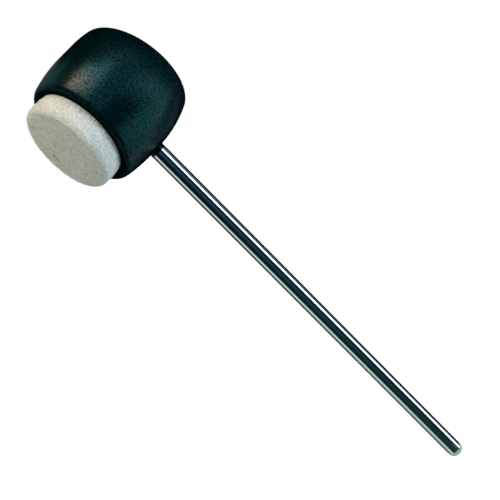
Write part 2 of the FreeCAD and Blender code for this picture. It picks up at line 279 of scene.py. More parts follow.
# %% Two rings of cards
# Name, edges in degrees to the right of the camera along the card's top and along its foot, cloth at the
# top and at the foot, brightness
LOW_CARDS = [
    ("camera_left", (-74.5, -14), (-59, -14), "#05090B", "#15362E", 1.0),
    ("camera_middle", (-14, 16), (-14, 16), "#39444E", "#1B3838", 1.0),
    ("camera_right", (16, 44.5), (16, 60), "#1C243C", "#0F2531", 1.0),
    ("white_streak", (44.5, 65), (60, 90), "#ECF6FF", "#ECF6FF", 2.8),
    ("right_side", (65, 113), (90, 112), "#6A7280", "#34444A", 1.0),
    ("right_rear", (113, 180), (112, 180), "#0C0E12", "#0A0C0E", 1.0),
    ("left_rear", (180, 251), (180, 245), "#20282A", "#20282A", 1.0),
    ("grey_left", (251, 266.5), (245, 270), "#A6B4B6", "#9AAAA8", 1.0),
    ("pale_left", (266.5, 285.5), (270, 301), "#E4FAF6", "#CDE9E0", 1.0),
]
HIGH_CARDS = [
    ("high_front", (-98, 12), (-98, 12), "#9098A0", "#9098A0", 1.0),
    ("high_right", (12, 74), (12, 74), "#ECF0FF", "#A4B4CA", 2.1),
    ("high_side", (74, 180), (74, 180), "#050708", "#050708", 1.0),
    ("high_rear", (180, 230), (180, 230), "#8CB0AC", "#344042", 1.0),
    ("high_left", (230, 262), (230, 262), "#8CB0B2", "#8CB0B2", 1.0),
]
print(len(LOW_CARDS), "cards for the rod and", len(HIGH_CARDS), "for the head")

# %% Stand the cards
CARD_RADIUS = 1.10
CARD_STEP = 3.0
CARD_SPLIT = 0.30
CARD_TOP = 1.60
LEAST_RISE = 1 * MM


def card_cloth(name, low, high, low_colour, high_colour, brightness):
    """Cloth shaded between two heights, seen in mirrors as it is written."""
    cloth, tree = new_material(name)
    place = add(tree, "ShaderNodeTexCoord").outputs["Object"]
    part = add(tree, "ShaderNodeSeparateXYZ", {0: place}).outputs
    share = add(tree, "ShaderNodeMapRange", {"Value": part["Z"], "From Min": low, "From Max": high})
    tone = add(tree, "ShaderNodeMix", {0: share, 6: low_colour, 7: high_colour}, data_type="RGBA")
    glow = add(tree, "ShaderNodeEmission", {"Color": tone, "Strength": brightness})
    add(tree, "ShaderNodeOutputMaterial", {"Surface": glow})
    return cloth


def stand_card(name, points, faces, low_colour, high_colour, brightness):
    """A card that only mirror rays see."""
    low = min(point.z for point in points)
    high = max(point.z for point in points) + LEAST_RISE
    mesh = bpy.data.meshes.new(name)
    mesh.from_pydata(points, [], faces)
    mesh.materials.append(card_cloth(name + "_cloth", low, high, low_colour, high_colour, brightness))
    card = show(name, mesh)
    for ray in ("camera", "diffuse", "transmission", "volume_scatter", "shadow"):
        setattr(card, "visible_" + ray, False)


def strip(steps):
    """The faces between two rows of points that are listed in pairs."""
    return [(2 * i, 2 * i + 2, 2 * i + 3, 2 * i + 1) for i in range(steps)]


for cards, low, high in ((LOW_CARDS, FLOOR_Z, CARD_SPLIT), (HIGH_CARDS, CARD_SPLIT, CARD_TOP)):
    for name, upper, lower, high_colour, low_colour, brightness in cards:
        steps = max(1, round((lower[1] - lower[0]) / CARD_STEP))
        points = []
        for i in range(steps + 1):
            points.append(from_camera(lower[0] + (lower[1] - lower[0]) * i / steps, CARD_RADIUS, low))
            points.append(from_camera(upper[0] + (upper[1] - upper[0]) * i / steps, CARD_RADIUS, high))
        stand_card("card_" + name, points, strip(steps), low_colour, high_colour, brightness)
print("rings of %.1f m radius, from %.2f to %.2f m" % (CARD_RADIUS, FLOOR_Z, CARD_TOP))

# %% [markdown]
# ## Cards above, below and before the head
# The satin rubber mirrors what hangs over it. A small warm card and a larger white one behind it make the
# soft highlight at the front shoulder, and a dim ceiling shades the crown. A pale table under the beater
# shows in the rod from raised views, and a small card under the rounded tip keeps that end light.

# %% Cards above and below
OVERHEAD_SPLIT = 0.50
TABLE_SPLIT = 0.34
TABLE_Z = FLOOR_Z + 0.01
TIP_CARD_RADIUS = 0.034
TIP_CARD_Z = -0.016

# Name, edges in degrees to the right of the camera, nearest and farthest from the rod, height, cloth,
# brightness
LEVEL_CARDS = [
    ("overhead", 240, 530, 0.0, OVERHEAD_SPLIT, CARD_TOP, "#667068", 1.0),
    ("overhead_outer", 240, 530, OVERHEAD_SPLIT, CARD_RADIUS, CARD_TOP, "#080C0E", 1.0),
    ("overhead_rear", 170, 240, 0.0, CARD_RADIUS, CARD_TOP, "#82E4DC", 0.85),
    ("table_right", 18, 104, TABLE_SPLIT, CARD_RADIUS, TABLE_Z, "#D2FFFC", 2.1),
    ("table_rest", 104, 378, TABLE_SPLIT, CARD_RADIUS, TABLE_Z, "#6F8489", 1.0),
    ("table_middle", 0, 360, 0.0, TABLE_SPLIT, TABLE_Z, "#D2FFFA", 1.4),
    ("under_tip", 0, 360, 0.0, TIP_CARD_RADIUS, TIP_CARD_Z, "#AFC4BB", 1.0),
]
for name, start, end, near, far, height, colour, brightness in LEVEL_CARDS:
    steps = max(2, round((end - start) / CARD_STEP))
    angles = [start + (end - start) * i / steps for i in range(steps + 1)]
    points = [from_camera(a, r, height) for a in angles for r in (near, far)]
    stand_card("card_" + name, points, strip(steps), colour, colour, brightness)

# Name, place from the head's centre, width and height, cloth, brightness
FACING_CARDS = [
    ("key", from_camera(44, 0.36, 0.90), (0.16, 0.38), "#FFEED1", 12.6),
    ("halo", from_camera(44, 0.56, 0.87), (0.48, 0.72), "#FFFFFD", 6.9),
]
for name, offset, (width, height), colour, brightness in FACING_CARDS:
    place = head_centre + offset
    turn = (head_centre - place).to_track_quat("-Z", "Y")
    points = [place + turn @ Vector((x * width / 2, y * height / 2, 0)) for x, y in corners]
    stand_card("card_" + name, points, [(0, 1, 2, 3)], colour, colour, brightness)
print(len(LEVEL_CARDS), "level cards and", len(FACING_CARDS), "that face the head")

# %% [markdown]
# ## Chrome plate on steel
# The rod is cold-drawn steel, ground smooth and plated with nickel and then chromium. The plate is a
# mirror with a cool cast. Its only texture is a faint haze from polishing, which blurs the reflections a
# little more in some places than in others. Where the rod leaves the head, a narrow ring is painted dark
# navy: painted shade under the neck.

# %% Chrome plate
chrome_plate, tree = new_material("chrome_plate_on_steel")
HAZE_SIZE = 6 * MM
HAZE_STRETCH = 0.2
# How far below the neck the ring of painted shade reaches, and where it is at full strength
NECK_SHADE_REACH = 2.4 * MM
NECK_SHADE_FULL = 1.6 * MM
place = add(tree, "ShaderNodeTexCoord").outputs["Object"]
stretched = add(tree, "ShaderNodeMapping", {"Vector": place, "Scale": (1, 1, HAZE_STRETCH)})
haze = add(tree, "ShaderNodeTexNoise", {
    "Vector": stretched, "Scale": 1 / HAZE_SIZE, "Detail": 4.0, "Roughness": 0.6})
blur = add(tree, "ShaderNodeMapRange", {
    "Value": haze, "From Min": 0.3, "From Max": 0.7, "To Min": 0.035, "To Max": 0.085})
part = add(tree, "ShaderNodeSeparateXYZ", {0: place}).outputs
# A narrow dark ring just below the neck: painted shade where the rod leaves the head
neck_shade = add(tree, "ShaderNodeMapRange", {
    "Value": part["Z"], "From Min": neck_z - NECK_SHADE_REACH, "From Max": neck_z - NECK_SHADE_FULL})
plate = add(tree, "ShaderNodeMix", {0: neck_shade, 6: "#D3D9DC", 7: "#14182C"}, data_type="RGBA")
shader = add(tree, "ShaderNodeBsdfPrincipled", {"Base Color": plate, "Metallic": 1.0, "Roughness": blur})
add(tree, "ShaderNodeOutputMaterial", {"Surface": shader})
print("made", chrome_plate.name)

# %% [markdown]
# ## The rod
# A beater rod is a plain bar with a rounded lower end. Inside the head it is turned down a little and
# milled flat on two sides, and a hole across the flats takes the pivot pin. The CAD mesh has facets,
# which a mirror would show as stripes, so the bar is spun again from its profile with many columns and
# smooth shading. Two blocks and a cylinder then cut the flats and the hole, as a mill would.

# %% Helpers for spun shapes
WELD = 1e-7


def spin(points, columns, centre, turn):
    """A shape spun from a profile of (distance along, distance from axis), set by a centre and a turn."""
    shape = bmesh.new()
    for i in range(columns):
        angle = 2 * math.pi * i / columns
        for along, out in points:
            shape.verts.new(centre + turn @ Vector((out * math.cos(angle), out * math.sin(angle), along)))
    shape.verts.ensure_lookup_table()
    rows = len(points)
    for i in range(columns):
        j = (i + 1) % columns
        for k in range(rows - 1):
            quad = (i * rows + k, j * rows + k, j * rows + k + 1, i * rows + k + 1)
            shape.faces.new([shape.verts[n] for n in quad])
    bmesh.ops.remove_doubles(shape, verts=shape.verts, dist=WELD)
    bmesh.ops.recalc_face_normals(shape, faces=shape.faces)
    return shape


def finish_mesh(shape, name, sharp_degrees=30):
    """A mesh of one material from a bmesh, smooth but for edges that turn more than an angle."""
    for face in shape.faces:
        face.smooth = True
        face.material_index = 0
    for edge in shape.edges:
        edge.smooth = edge.calc_face_angle(0) < math.radians(sharp_degrees)
    mesh = bpy.data.meshes.new(name)
    shape.to_mesh(mesh)
    shape.free()
    return mesh


print("points closer than %g m are welded" % WELD)

# %% Spin the rod
TIP_ROUND = 3.0 * MM
SPIGOT_STEP = 0.3 * MM
SPIGOT_ENTRY = 1.0 * MM
HOLD = 0.2 * MM
ROD_COLUMNS = 96
TIP_STEPS = 12
tip_z = shaft_low.z
top_z = shaft_high.z
spigot_z = neck_z + SPIGOT_ENTRY
spigot_radius = shaft_radius - SPIGOT_STEP
flat_end = shaft_radius - TIP_ROUND
rod_profile = [(tip_z, 0)]
for i in range(TIP_STEPS + 1):
    angle = math.pi / 2 * i / TIP_STEPS
    out = flat_end + TIP_ROUND * math.sin(angle)
    rod_profile.append((tip_z + TIP_ROUND * (1 - math.cos(angle)), out))
rod_profile += [
    (tip_z + TIP_ROUND + HOLD, shaft_radius),
    (spigot_z - SPIGOT_STEP - HOLD, shaft_radius),
    (spigot_z - SPIGOT_STEP, shaft_radius),
    (spigot_z, spigot_radius),
    (top_z - SPIGOT_STEP, spigot_radius),
    (top_z, spigot_radius - SPIGOT_STEP),
    (top_z, 0),
]
rod = spin(rod_profile, ROD_COLUMNS, Vector(), Matrix.Identity(3))
rod_mesh = finish_mesh(rod, "rod")
print("rod of", len(rod_mesh.polygons), "faces, from z = %.1f to %.1f mm" % (tip_z / MM, top_z / MM))

# %% Helpers for cutting
def block(name, low, high):
    """A rectangular block between two corners, for cutting."""
    shape = bmesh.new()
    bmesh.ops.create_cube(shape, size=1.0)
    for vert in shape.verts:
        vert.co = Vector([low[i] + (vert.co[i] + 0.5) * (high[i] - low[i]) for i in range(3)])
    return show(name, finish_mesh(shape, name))


def plain_mesh(piece, name):
    """The piece's mesh with all its modifiers carried out."""
    depsgraph = bpy.context.evaluated_depsgraph_get()
    depsgraph.update()
    mesh = bpy.data.meshes.new_from_object(piece.evaluated_get(depsgraph), depsgraph=depsgraph)
    mesh.name = name
    return mesh


def cut(mesh, cutters, name, material):
    """The mesh with the cutters taken away, in its material, and the cutters removed from the scene."""
    blank = show(name + "_blank", mesh)
    for cutter in cutters:
        modifier = blank.modifiers.new("cut", "BOOLEAN")
        modifier.operation = "DIFFERENCE"
        modifier.solver = "EXACT"
        modifier.object = cutter
    shape = bmesh.new()
    shape.from_mesh(plain_mesh(blank, name))
    for helper in cutters + [blank]:
        bpy.data.objects.remove(helper)
    bmesh.ops.remove_doubles(shape, verts=shape.verts, dist=WELD)
    mesh = finish_mesh(shape, name, sharp_degrees=40)
    mesh.materials.append(material)
    return mesh


pin_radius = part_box("pivot_pin")[1].y
print("the pin's hole is %.1f mm wide" % (2 * pin_radius / MM))

# %% Mill the flats and the pin's hole
EYE_BELOW_PIVOT = 9.0 * MM
EYE_HALF_THICKNESS = 2.8 * MM
HOLE_COLUMNS = 32
CUT_PAST = 1 * MM
eye_z = head_centre.z - EYE_BELOW_PIVOT
beyond = shaft_radius + CUT_PAST
above = top_z + CUT_PAST
flat_left = block("flat_left", (-beyond, -beyond, eye_z), (-EYE_HALF_THICKNESS, beyond, above))
flat_right = block("flat_right", (EYE_HALF_THICKNESS, -beyond, eye_z), (beyond, beyond, above))
hole_profile = [(-beyond, 0), (-beyond, pin_radius), (beyond, pin_radius), (beyond, 0)]
along_x = Matrix.Rotation(math.pi / 2, 3, "Y")
hole = show("pin_hole", finish_mesh(spin(hole_profile, HOLE_COLUMNS, head_centre, along_x), "pin_hole"))
rod_mesh = cut(rod_mesh, [flat_left, flat_right, hole], "beater_rod", chrome_plate)
beater_rod = show("beater_rod", rod_mesh)
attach(beater_rod, "rod")
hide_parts("shaft")
print("beater_rod has", len(rod_mesh.polygons), "faces")

# %% [markdown]
# ## Moulded rubber
# The jacket is black rubber, pressed in a mould whose walls were etched to a fine grain. The grain breaks
# the light into a soft satin sheen. The black itself is nearly neutral, and its green-blue cast is in
# that sheen, so it is given as the tint of the mirror part. Real mould grain is about a tenth of a
# millimetre, too fine for this picture, so it is drawn coarser.

# %% Grain of the rubber
moulded_rubber, tree = new_material("moulded_rubber_satin")
GRAIN_SIZE = 0.9 * MM
GRAIN_DEPTH = 0.10 * MM
CLOUD_SIZE = 9 * MM
place = add(tree, "ShaderNodeTexCoord").outputs["Object"]
grain = add(tree, "ShaderNodeTexNoise", {
    "Vector": place, "Scale": 1 / GRAIN_SIZE, "Detail": 3.0, "Roughness": 0.6})
cloud = add(tree, "ShaderNodeTexNoise", {
    "Vector": place, "Scale": 1 / CLOUD_SIZE, "Detail": 3.0, "Roughness": 0.55})
tone = add(tree, "ShaderNodeMix", {0: cloud, 6: "#000506", 7: "#000A0C"}, data_type="RGBA")
speckled = add(tree, "ShaderNodeMapRange", {
    "Value": grain, "From Min": 0.35, "From Max": 0.7, "To Min": 0.0, "To Max": 0.9})
tone = add(tree, "ShaderNodeMix", {0: speckled, 6: tone, 7: "#001719"}, data_type="RGBA")
blur = add(tree, "ShaderNodeMapRange", {
    "Value": grain, "From Min": 0.3, "From Max": 0.7, "To Min": 0.20, "To Max": 0.27})
sheen = add(tree, "ShaderNodeMapRange", {
    "Value": grain, "From Min": 0.32, "From Max": 0.68, "To Min": 0.02, "To Max": 0.26})
relief = add(tree, "ShaderNodeBump", {"Height": grain, "Strength": 0.6, "Distance": GRAIN_DEPTH})
print("grain drawn at %.1f mm" % (GRAIN_SIZE / MM))

# %% [markdown]
# ## Matte places, and the painted highlight colour
# The front of the lip and the underside round the rod are left matte by the mould, so the sheen fades out
# there. At the front shoulder on both sides, round the spot where the soft highlight falls, the sheen
# loses its green-blue tint and turns neutral: a painted highlight colour. Distances from the head's axis
# and centre mark these places, so no texture map has to be painted.

# %% Sheen of the rubber, and its painted highlight colour
LIP_MATTE = (felt_radius + 2.6 * MM, felt_radius + 4.2 * MM)
NOSE_MATTE = (lip_y + 1.0 * MM, lip_y + 2.5 * MM)
NECK_MATTE = (-27.6 * MM, -25.0 * MM)
# Where the soft highlight falls on the front shoulder; round it the sheen's tint is painted neutral
HIGHLIGHT_SPOT = Vector((22.4, -17.5, 18.2)) * MM
HIGHLIGHT_REACH = 14 * MM
part = add(tree, "ShaderNodeSeparateXYZ", {0: place}).outputs
height = add(tree, "ShaderNodeMath", {0: part["Z"], 1: head_centre.z}, operation="SUBTRACT")
spread = add(tree, "ShaderNodeCombineXYZ", {"X": part["X"], "Y": height})
spread = add(tree, "ShaderNodeVectorMath", {0: spread}, operation="LENGTH")
off_lip, off_nose, off_neck = [
    add(tree, "ShaderNodeMapRange", {"Value": measure, "From Min": low, "From Max": high})
    for measure, (low, high) in ((spread, LIP_MATTE), (part["Y"], NOSE_MATTE), (height, NECK_MATTE))]
kept = add(tree, "ShaderNodeMath", {0: off_lip, 1: off_nose}, operation="MAXIMUM")
sheen = add(tree, "ShaderNodeMath", {0: sheen, 1: kept}, operation="MULTIPLY")
sheen = add(tree, "ShaderNodeMath", {0: sheen, 1: off_neck}, operation="MULTIPLY")
aside = add(tree, "ShaderNodeMath", {0: part["X"]}, operation="ABSOLUTE")
mirrored = add(tree, "ShaderNodeCombineXYZ", {"X": aside, "Y": part["Y"], "Z": height})
from_highlight_spot = add(tree, "ShaderNodeVectorMath", {0: mirrored, 1: HIGHLIGHT_SPOT}, operation="DISTANCE")
# Share of the painted highlight colour, from 0 beyond the reach to 1 at the spot
worn = add(tree, "ShaderNodeMapRange", {
    "Value": from_highlight_spot, "From Min": HIGHLIGHT_REACH, "From Max": 0.0}, interpolation_type="SMOOTHSTEP")
tint = add(tree, "ShaderNodeMix", {0: worn, 6: "#76FFFF", 7: "#FFFFFF"}, data_type="RGBA")
shader = add(tree, "ShaderNodeBsdfPrincipled", {
    "Base Color": tone, "Roughness": blur, "IOR": 1.52, "Specular IOR Level": sheen,
    "Specular Tint": tint, "Normal": relief})
add(tree, "ShaderNodeOutputMaterial", {"Surface": shader})
print("made", moulded_rubber.name)

# %% [markdown]
# ## The profile of the jacket
# In the mould the jacket is turned about the felt's axis: a shallow dome at the rear, a rounded corner, a
# barrel whose crown is a large arc, a small rounded nose at the lip, and inside a bore for the felt and a
# hollow for the core. The arcs touch each other, so each centre follows from the ones before it, as in a
# draughtsman's construction. The profile is kept as a chain of points, close together where the curve is
# tight. An attribute marks which points are outside, because only the outside leans and is pressed in at
# the neck.

# %% Centres of the arcs
CROWN_CURVE = 77.5 * MM
NOSE_ROUND = 2.8 * MM
REAR_DOME = 65.0 * MM
REAR_CORNER = 4.0 * MM
REAR_WALL = 8.5 * MM
CORE_CONE_LENGTH = 8.0 * MM
CORE_CONE_DEPTH = 7.6 * MM
FELT_GAP = 0.15 * MM
MOUTH_ROUND = 0.5 * MM

rear_y = core_rear_y + REAR_WALL
bore_radius = felt_radius + FELT_GAP
crown_centre = (0, barrel_radius - CROWN_CURVE)
dome_centre = (rear_y - REAR_DOME, 0)
nose_y = lip_y + NOSE_ROUND
nose_centre = (nose_y, crown_centre[1] + math.sqrt((CROWN_CURVE - NOSE_ROUND) ** 2 - nose_y ** 2))

to_crown = CROWN_CURVE - REAR_CORNER
to_dome = REAR_DOME - REAR_CORNER
between = Vector(dome_centre) - Vector(crown_centre)
along = (to_crown ** 2 - to_dome ** 2 + between.length_squared) / (2 * between.length)
across = math.sqrt(to_crown ** 2 - along ** 2)
ahead = between.normalized()
corner_centre = Vector(crown_centre) + ahead * along + Vector((ahead.y, -ahead.x)) * across

crown_rear = corner_centre + (corner_centre - Vector(crown_centre)).normalized() * REAR_CORNER
crown_front = Vector(nose_centre) + (Vector(nose_centre) - Vector(crown_centre)).normalized() * NOSE_ROUND
dome_edge = corner_centre + (corner_centre - Vector(dome_centre)).normalized() * REAR_CORNER
mouth_centre = (lip_y + MOUTH_ROUND, bore_radius + MOUTH_ROUND)
print("the rear corner's centre is %.1f mm from the felt's axis" % (corner_centre.y / MM))

# %% Points of the profile
def arc(centre, radius, start, end, steps):
    """Points of the shorter arc about a centre, from the direction of one point to that of another."""
    first = math.atan2(start[1] - centre[1], start[0] - centre[0])
    turn = math.atan2(end[1] - centre[1], end[0] - centre[0]) - first
    turn = (turn + math.pi) % (2 * math.pi) - math.pi
    angles = [first + turn * i / steps for i in range(steps + 1)]
    return [(centre[0] + radius * math.cos(a), centre[1] + radius * math.sin(a)) for a in angles]


def run(start, end, steps):
    """Points evenly along a straight line."""
    shares = [i / steps for i in range(steps + 1)]
    return [(start[0] + (end[0] - start[0]) * s, start[1] + (end[1] - start[1]) * s) for s in shares]


# The last number of each arc and run is its count of steps
outside = arc(dome_centre, REAR_DOME, (rear_y, 0), dome_edge, 26)
outside += arc(corner_centre, REAR_CORNER, dome_edge, crown_rear, 14)[1:]
outside += arc(crown_centre, CROWN_CURVE, crown_rear, crown_front, 60)[1:]
outside += arc(nose_centre, NOSE_ROUND, crown_front, (lip_y, nose_centre[1]), 14)[1:]
inside = run((lip_y, nose_centre[1]), (lip_y, mouth_centre[1]), 4)[1:]
inside += arc(mouth_centre, MOUTH_ROUND, (lip_y, mouth_centre[1]), (mouth_centre[0], bore_radius), 5)[1:]
hollow = [
    (mouth_centre[0], bore_radius),
    (core_front_y, bore_radius),
    (core_front_y, core_radius),
    (core_rear_y - CORE_CONE_LENGTH, core_radius),
    (core_rear_y, core_radius - CORE_CONE_DEPTH),
    (core_rear_y, 0),
]
for start, end, steps in zip(hollow, hollow[1:], (3, 1, 6, 2, 2)):
    inside += run(start, end, steps)[1:]

profile = bpy.data.meshes.new("jacket_profile")
chain = [(i, i + 1) for i in range(len(outside) + len(inside) - 1)]
profile.from_pydata([(0, y, r) for y, r in outside + inside], chain, [])
marks = profile.attributes.new("outside", "FLOAT", "POINT")
marks.data.foreach_set("value", [1.0] * len(outside) + [0.0] * len(inside))
print("profile of", len(outside), "points outside and", len(inside), "inside")

# %% [markdown]
# ## The jacket by rule
# The rear of the barrel leans up by a few degrees, eased in along the barrel, and the underside is
# pressed flat round the rod. A spun mesh with edited points could do that, but a Geometry Nodes tree says
# the rule itself. A grid has one column for each step round the axis and one row for each profile point.
# Each grid point takes its place from its row and column, the lean turns it about the head's centre, and
# a smooth maximum lifts the lowest points to the neck, which curves up gently before and behind the rod.

# %% Rows and columns of the jacket
def new_rule(name, source, count, measures):
    """An empty Geometry Nodes tree, and the keys of its inputs: a mesh, a count, a material, measures."""
    rule = bpy.data.node_groups.new(name, "GeometryNodeTree")
    rule.interface.new_socket("Geometry", in_out="OUTPUT", socket_type="NodeSocketGeometry")
    kinds = {source: "Geometry", count: "Int", "Material": "Material"}
    kinds.update({measure: "Float" for measure in measures})
    identifiers = {}
    for title, kind in kinds.items():
        socket = rule.interface.new_socket(title, in_out="INPUT", socket_type="NodeSocket" + kind)
        identifiers[title] = socket.identifier
    return rule, identifiers


rule, jacket_inputs = new_rule("jacket_rule", "Profile", "Columns", (
    "Lean", "Bend Start", "Bend End", "Axis Height",
    "Neck Height", "Neck Forward", "Neck Curve", "Neck Softness"))
given = add(rule, "NodeGroupInput").outputs
size = add(rule, "GeometryNodeAttributeDomainSize", {0: given["Profile"]}, component="MESH")
rows = size.outputs["Point Count"]
closed = add(rule, "ShaderNodeMath", {0: given["Columns"], 1: 1.0}, operation="ADD")
grid = add(rule, "GeometryNodeMeshGrid", {"Vertices X": closed, "Vertices Y": rows})
index = add(rule, "GeometryNodeInputIndex")
share = add(rule, "ShaderNodeMath", {0: index, 1: rows}, operation="DIVIDE")
column = add(rule, "ShaderNodeMath", {0: share}, operation="FLOOR")
row = add(rule, "ShaderNodeMath", {0: index, 1: rows}, operation="MODULO")
position = add(rule, "GeometryNodeInputPosition")
on_profile = add(rule, "GeometryNodeSampleIndex", {
    "Geometry": given["Profile"], "Value": position, "Index": row}, data_type="FLOAT_VECTOR")
mark = add(rule, "GeometryNodeInputNamedAttribute", {"Name": "outside"}, data_type="FLOAT")
is_outside = add(rule, "GeometryNodeSampleIndex", {
    "Geometry": given["Profile"], "Value": mark, "Index": row}, data_type="FLOAT")
print("grid with a row for each profile point, in a tree with", len(jacket_inputs), "inputs")

# %% Spin, lean and neck of the jacket
JACKET_WELD = 1e-6
flat = add(rule, "ShaderNodeSeparateXYZ", {0: on_profile})
turn = add(rule, "ShaderNodeMath", {0: column, 1: given["Columns"]}, operation="DIVIDE")
angle = add(rule, "ShaderNodeMath", {0: turn, 1: 2 * math.pi}, operation="MULTIPLY")
round_axis = add(rule, "ShaderNodeVectorRotate", {
    "Vector": on_profile, "Angle": angle}, rotation_type="Y_AXIS")
eased = add(rule, "ShaderNodeMapRange", {
    "Value": flat.outputs["Y"], "From Min": given["Bend Start"], "From Max": given["Bend End"],
    "To Max": given["Lean"]}, interpolation_type="SMOOTHSTEP")
lean = add(rule, "ShaderNodeMath", {0: eased, 1: is_outside}, operation="MULTIPLY")
leaned = add(rule, "ShaderNodeVectorRotate", {
    "Vector": round_axis, "Angle": lean}, rotation_type="X_AXIS")
part = add(rule, "ShaderNodeSeparateXYZ", {0: leaned}).outputs
height = add(rule, "ShaderNodeMath", {0: part["Z"], 1: given["Axis Height"]}, operation="ADD")
behind = add(rule, "ShaderNodeMath", {0: part["Y"], 1: given["Neck Forward"]}, operation="ADD")
squared = add(rule, "ShaderNodeMath", {0: behind, 1: 2.0}, operation="POWER")
rise = add(rule, "ShaderNodeMath", {0: squared, 1: given["Neck Curve"]}, operation="DIVIDE")
half_rise = add(rule, "ShaderNodeMath", {0: rise, 1: 0.5}, operation="MULTIPLY")
neck_floor = add(rule, "ShaderNodeMath", {0: half_rise, 1: given["Neck Height"]}, operation="ADD")
pressed = add(rule, "ShaderNodeMath", {
    0: height, 1: neck_floor, 2: given["Neck Softness"]}, operation="SMOOTH_MAX")
lifted = add(rule, "ShaderNodeMix", {0: is_outside, 2: height, 3: pressed}, data_type="FLOAT")
whole = add(rule, "ShaderNodeCombineXYZ", {"X": part["X"], "Y": part["Y"], "Z": lifted})
placed = add(rule, "GeometryNodeSetPosition", {0: grid, "Position": whole})
merged = add(rule, "GeometryNodeMergeByDistance", {0: placed, "Distance": JACKET_WELD})
real = add(rule, "GeometryNodeRealizeInstances", {0: merged})
painted = add(rule, "GeometryNodeSetMaterial", {0: real, "Material": given["Material"]})
add(rule, "NodeGroupOutput", {0: painted})
print("tree of", len(rule.nodes), "nodes")

# %% Grow the jacket
BEND_START = -5.0 * MM
BEND_LENGTH = 20.0 * MM
NECK_FORWARD = 8.0 * MM
NECK_CURVE = 118.0 * MM


def grow(name, source_mesh, rule, identifiers, values):
    """A shape made by a Geometry Nodes tree from a source mesh and named values."""
    seed = show(name + "_seed", source_mesh)
    modifier = seed.modifiers.new("rule", "NODES")
    modifier.node_group = rule
    for key, value in values.items():
        modifier[identifiers[key]] = value
    shape = bmesh.new()
    shape.from_mesh(plain_mesh(seed, name))
    seed.modifiers.remove(modifier)
    bpy.data.objects.remove(seed)
    return shape


shape = grow("jacket", profile, rule, jacket_inputs, {
    "Columns": 224,
    "Lean": math.radians(6.9),
    "Bend Start": BEND_START,
    "Bend End": BEND_START + BEND_LENGTH,
    "Axis Height": head_centre.z,
    "Neck Height": neck_z,
    "Neck Forward": NECK_FORWARD,
    "Neck Curve": NECK_CURVE,
    "Neck Softness": 1.2 * MM,
    "Material": moulded_rubber,
})
bmesh.ops.remove_doubles(shape, verts=shape.verts, dist=JACKET_WELD)
bmesh.ops.recalc_face_normals(shape, faces=shape.faces)
open_edges = sum(1 for edge in shape.edges if not edge.is_manifold)
jacket_mesh = finish_mesh(shape, "jacket")
print("jacket of", len(jacket_mesh.polygons), "faces,", open_edges, "open edges")

# %% [markdown]
# ## The slot in the neck
# The rod enters the head through a slot that is longer than the rod is thick, so that the head can
# swivel. A cutter with the slot's outline, flared at its lower end, leaves a rounded rim in one cut.
# Cutting first and beveling after would have to cope with the many short edges that a cut leaves.

# %% Outline of the slot
SLOT_SIDE_GAP = 0.8 * MM
SLOT_END_GAP = 0.5 * MM
SLOT_STEPS = 20
swivel = math.radians(max(abs(v) for v in frame["joints"][0]["range_deg"]))
slot_half_width = shaft_radius + SLOT_SIDE_GAP
neck_depth = head_centre.z - neck_z
slot_reach = shaft_radius / math.cos(swivel) + neck_depth * math.tan(swivel) + SLOT_END_GAP
end_centre = slot_reach - slot_half_width


def slot_loop(spread, height):
    """A ring of points round the slot, spread outwards by a distance, at a height above the neck."""
    radius = slot_half_width + spread
    ring = []
    for side, first in ((1, 0), (-1, math.pi)):
        for i in range(SLOT_STEPS + 1):
            a = first + math.pi * i / SLOT_STEPS
            y = side * end_centre + radius * math.sin(a)
            z = neck_z + (y + NECK_FORWARD) ** 2 / (2 * NECK_CURVE) + height
            ring.append(Vector((radius * math.cos(a), y, z)))
    return ring


print("slot %.1f mm long and %.1f mm wide" % (2 * slot_reach / MM, 2 * slot_half_width / MM))

# %% Cut the slot
SLOT_RIM = 0.7 * MM
RIM_STEPS = 5
FLARE = 1.6
FLARE_BELOW = 2 * MM
SLOT_INTO_CORE = 0.8
loops = [slot_loop(SLOT_RIM * FLARE, -FLARE_BELOW)]
for i in range(RIM_STEPS + 1):
    a = math.pi / 2 * i / RIM_STEPS
    loops.append(slot_loop(SLOT_RIM * (1 - math.sin(a)), SLOT_RIM * (1 - math.cos(a))))
loops.append(slot_loop(0, neck_depth - core_radius * SLOT_INTO_CORE))
shape = bmesh.new()
rings = [[shape.verts.new(p) for p in ring] for ring in loops]
count = len(rings[0])
for low, high in zip(rings, rings[1:]):
    for i in range(count):
        j = (i + 1) % count
        shape.faces.new((low[i], low[j], high[j], high[i]))
shape.faces.new(rings[0])
shape.faces.new(rings[-1])
bmesh.ops.recalc_face_normals(shape, faces=shape.faces)
slot_cutter = show("slot_cutter", finish_mesh(shape, "slot_cutter"))
jacket_mesh = cut(jacket_mesh, [slot_cutter], "rubber_jacket", moulded_rubber)
rubber_jacket = show("rubber_jacket", jacket_mesh)
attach(rubber_jacket, "head")
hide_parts("head_jacket")
print("rubber_jacket has", len(jacket_mesh.polygons), "faces")
